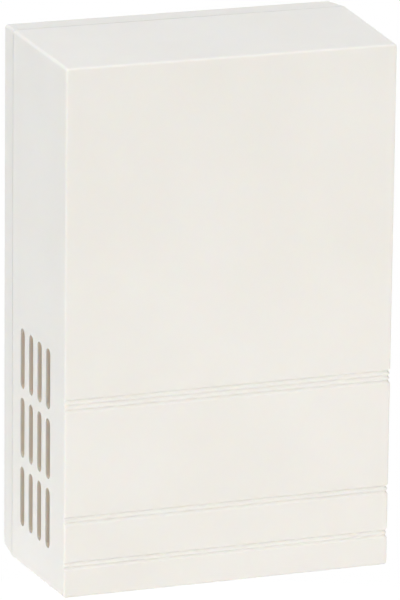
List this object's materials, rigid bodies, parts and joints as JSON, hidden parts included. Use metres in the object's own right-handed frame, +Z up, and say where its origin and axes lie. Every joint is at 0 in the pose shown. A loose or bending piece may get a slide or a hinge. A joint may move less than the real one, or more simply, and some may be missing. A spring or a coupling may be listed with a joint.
{
  "type": "doorbell chime box",
  "caption": "Wall-hung wired two-note door chime: ivory box with grooved front and side vents, pull-off cover, sprung solenoid plungers and hung steel tone plates.",
  "frame": {"origin": "centre of the wall face of the base tray", "axes": "+X right as seen from the room, +Y into the wall, +Z up; the front face looks along -Y"},
  "size_m": [0.1164, 0.0612, 0.1808],
  "materials": {
    "cover": "smooth ivory-white moulded plastic, satin",
    "tray": "ivory-white moulded plastic",
    "plate_steel": "rolled steel plate",
    "grommet_rubber": "black rubber",
    "yoke_steel": "zinc-plated steel strip",
    "nylon": "natural nylon",
    "copper_wire": "enamelled copper wire, wound",
    "coil_tape": "yellow polyester tape",
    "brass": "bright brass",
    "core_steel": "turned soft iron",
    "spring_steel": "drawn spring wire",
    "felt": "pressed felt",
    "screw_steel": "zinc-plated",
    "block_plastic": "brown phenolic moulding",
    "red_lead": "PVC insulation",
    "blue_lead": "PVC insulation",
    "white_lead": "PVC insulation"
  },
  "bodies": {
    "tray": {"base_tray": "tray", "plate_posts": "nylon", "tone_plate_left": "plate_steel", "tone_plate_right": "plate_steel", "plate_grommets": "grommet_rubber", "front_yoke": "yoke_steel", "rear_yoke": "yoke_steel", "front_bobbin": "nylon", "rear_bobbin": "nylon", "front_coil": "copper_wire", "rear_coil": "copper_wire", "front_coil_tape": "coil_tape", "rear_coil_tape": "coil_tape", "front_guide_tube": "brass", "rear_guide_tube": "brass", "front_spring": "spring_steel", "rear_spring": "spring_steel", "rear_stop_pad": "felt", "coil_pins": "brass", "solenoid_screws": "screw_steel", "terminal_block": "block_plastic", "terminal_clamps": "brass", "terminal_screws": "brass", "block_screws": "screw_steel", "front_lead": "red_lead", "rear_lead": "blue_lead", "front_common_lead": "white_lead", "rear_common_lead": "white_lead"},
    "cover": {"cover": "cover"},
    "front_plunger": {"front_core": "core_steel", "front_striker_left": "nylon", "front_striker_right": "nylon"},
    "rear_plunger": {"rear_core": "core_steel", "rear_spring_cap": "nylon", "rear_striker": "nylon"}
  },
  "joints": [
    {"name": "front_plunger_slide", "type": "slide", "parent": "tray", "child": "front_plunger", "axis": [1, 0, 0], "range_m": [-0.0037, 0.0037], "stiffness_N_per_m": 60, "deforming": ["front_spring"]},
    {"name": "rear_plunger_slide", "type": "slide", "parent": "tray", "child": "rear_plunger", "axis": [1, 0, 0], "range_m": [-0.0015, 0.0037], "stiffness_N_per_m": 60, "deforming": ["rear_spring"]},
    {"name": "cover_pull_off", "type": "slide", "parent": "tray", "child": "cover", "axis": [0, -1, 0], "range_m": [0, 0.06]}
  ]
}
